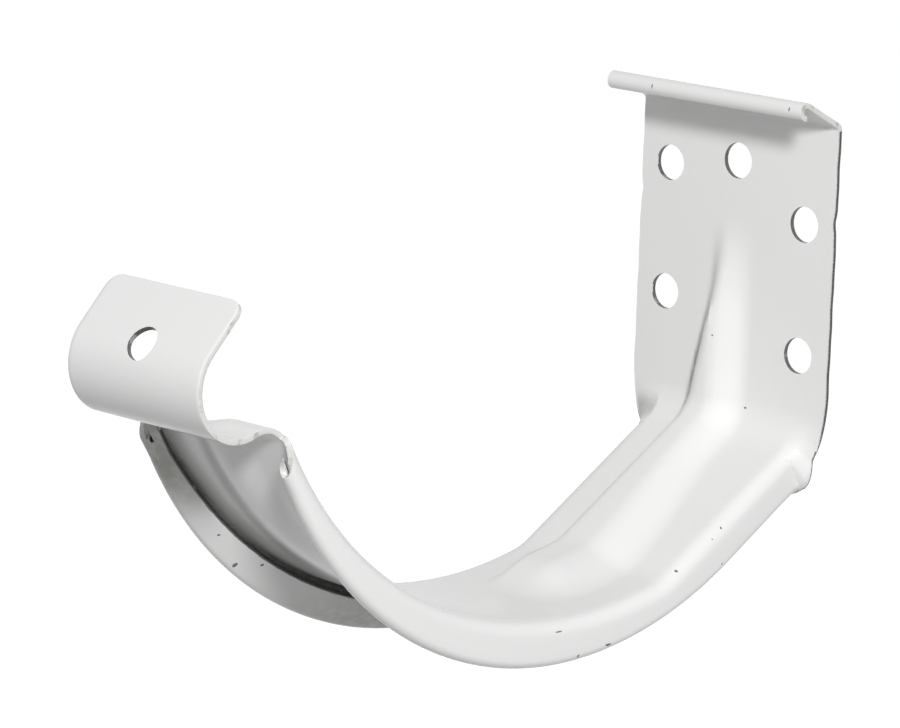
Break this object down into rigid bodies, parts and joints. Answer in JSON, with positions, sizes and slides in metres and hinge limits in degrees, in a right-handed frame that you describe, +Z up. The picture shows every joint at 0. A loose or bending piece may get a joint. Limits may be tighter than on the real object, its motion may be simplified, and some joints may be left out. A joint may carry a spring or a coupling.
{
  "type": "gutter bracket",
  "caption": "Pressed steel bracket that cradles a half-round roof gutter: flat wall plate with a rolled top lip, hemmed channel arm and open front hook.",
  "frame": {"origin": "on the flat back of the wall plate, at mid-width, midway in height between the two upper side holes", "axes": "+X along the gutter, to the right seen from the front; +Y out of the plate's back into the wall; +Z up"},
  "size_m": [0.05, 0.1559, 0.1011],
  "materials": {
    "painted_steel": "gloss"
  },
  "bodies": {
    "root": {"bracket": "painted_steel"}
  },
  "joints": []
}
